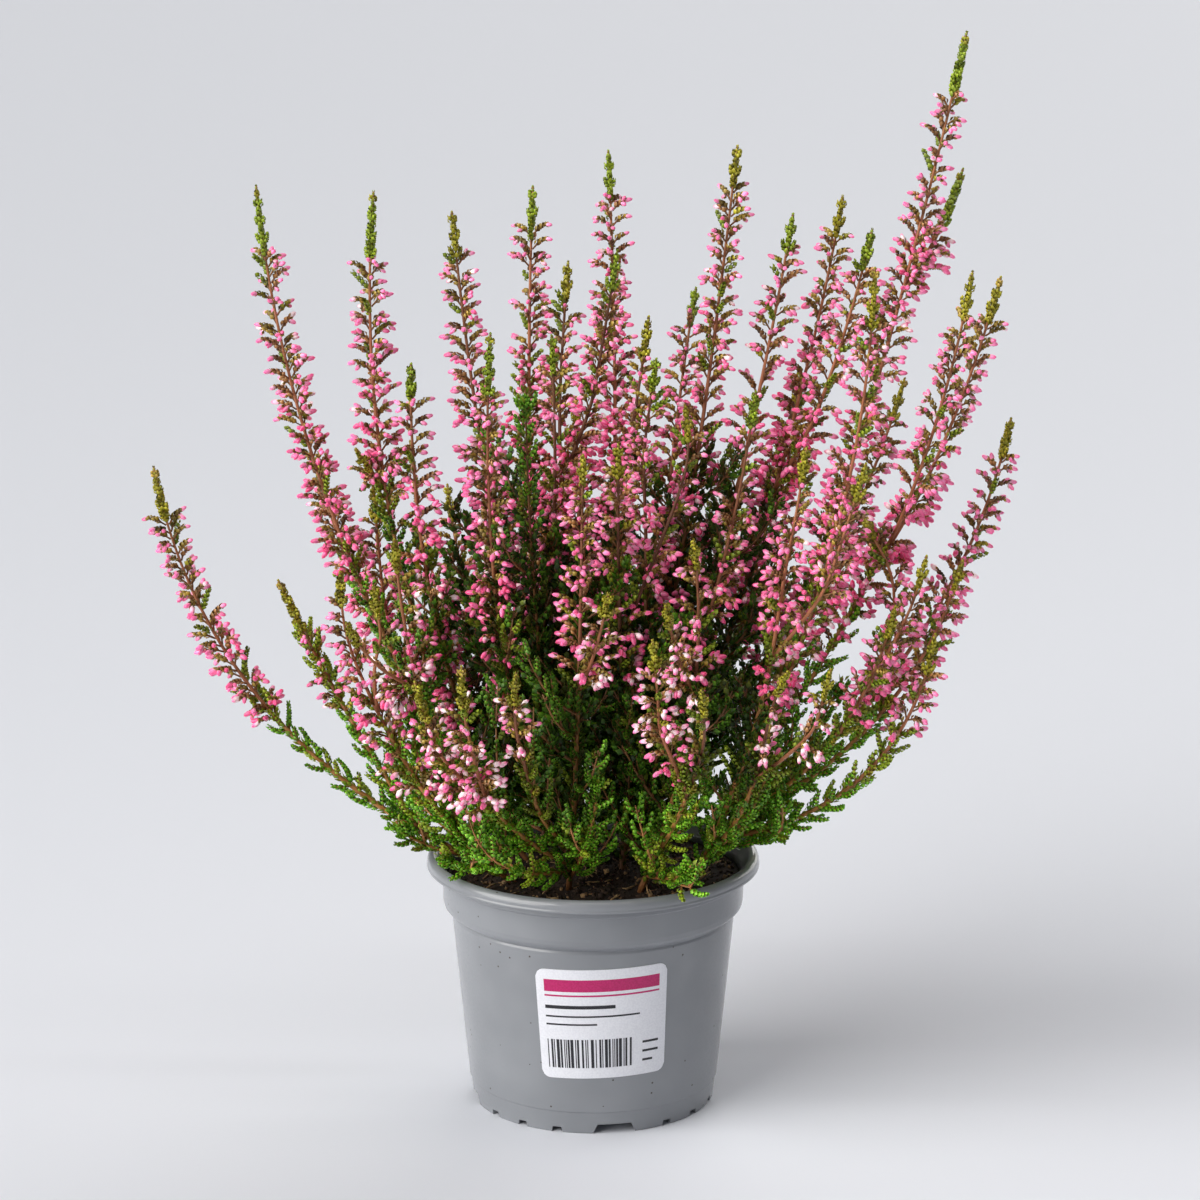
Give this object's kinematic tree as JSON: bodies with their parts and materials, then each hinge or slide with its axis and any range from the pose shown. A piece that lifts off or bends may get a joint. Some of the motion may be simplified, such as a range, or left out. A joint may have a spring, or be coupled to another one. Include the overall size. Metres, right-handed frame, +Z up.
{
  "type": "potted heather",
  "caption": "Heather in flower, a bush of upright pink flower spikes on green scale-leaved stems, growing in a round grey nursery pot with a plain white label.",
  "frame": {"origin": "centre of the pot's foot, on the surface that it stands on", "axes": "+Z up, along the pot's axis; the label faces -Y; +X to the right of the label as a viewer in front sees it"},
  "size_m": [0.2787, 0.193, 0.3551],
  "materials": {
    "grey_plastic": "satin, moulded, light grey",
    "white_label": "smooth white adhesive label",
    "potting_soil": "dark crumbly peat soil with wood fibre",
    "leafy_wood": "thin woody stems with green scale leaves",
    "heather_flower": "pink flower buds, soft petals"
  },
  "bodies": {
    "root": {"pot": "grey_plastic", "label": "white_label", "soil": "potting_soil", "branch_01": "leafy_wood", "branch_02": "leafy_wood", "branch_03": "leafy_wood", "branch_04": "leafy_wood", "branch_05": "leafy_wood", "branch_06": "leafy_wood", "branch_07": "leafy_wood", "branch_08": "leafy_wood", "branch_09": "leafy_wood", "branch_10": "leafy_wood", "branch_11": "leafy_wood", "branch_12": "leafy_wood", "branch_13": "leafy_wood", "spike_01": "heather_flower", "spike_02": "heather_flower", "spike_03": "heather_flower", "spike_04": "heather_flower", "spike_05": "heather_flower", "spike_06": "heather_flower", "spike_07": "heather_flower", "spike_08": "heather_flower", "spike_09": "heather_flower", "spike_10": "heather_flower", "spike_11": "heather_flower", "spike_12": "heather_flower", "spike_13": "heather_flower", "spike_14": "heather_flower", "spike_15": "heather_flower", "spike_16": "heather_flower", "spike_17": "heather_flower", "spike_18": "heather_flower", "spike_19": "heather_flower", "spike_20": "heather_flower", "spike_21": "heather_flower", "spike_22": "heather_flower", "spike_23": "heather_flower", "spike_24": "heather_flower", "spike_25": "heather_flower", "spike_26": "heather_flower", "spike_27": "heather_flower", "spike_28": "heather_flower", "spike_29": "heather_flower", "spike_30": "heather_flower", "spike_31": "heather_flower", "spike_32": "heather_flower", "spike_33": "heather_flower", "spike_34": "heather_flower", "spike_35": "heather_flower", "spike_36": "heather_flower", "spike_37": "heather_flower", "spike_38": "heather_flower", "spike_39": "heather_flower", "spike_40": "heather_flower", "spike_41": "heather_flower", "spike_42": "heather_flower", "spike_43": "heather_flower"}
  },
  "joints": []
}
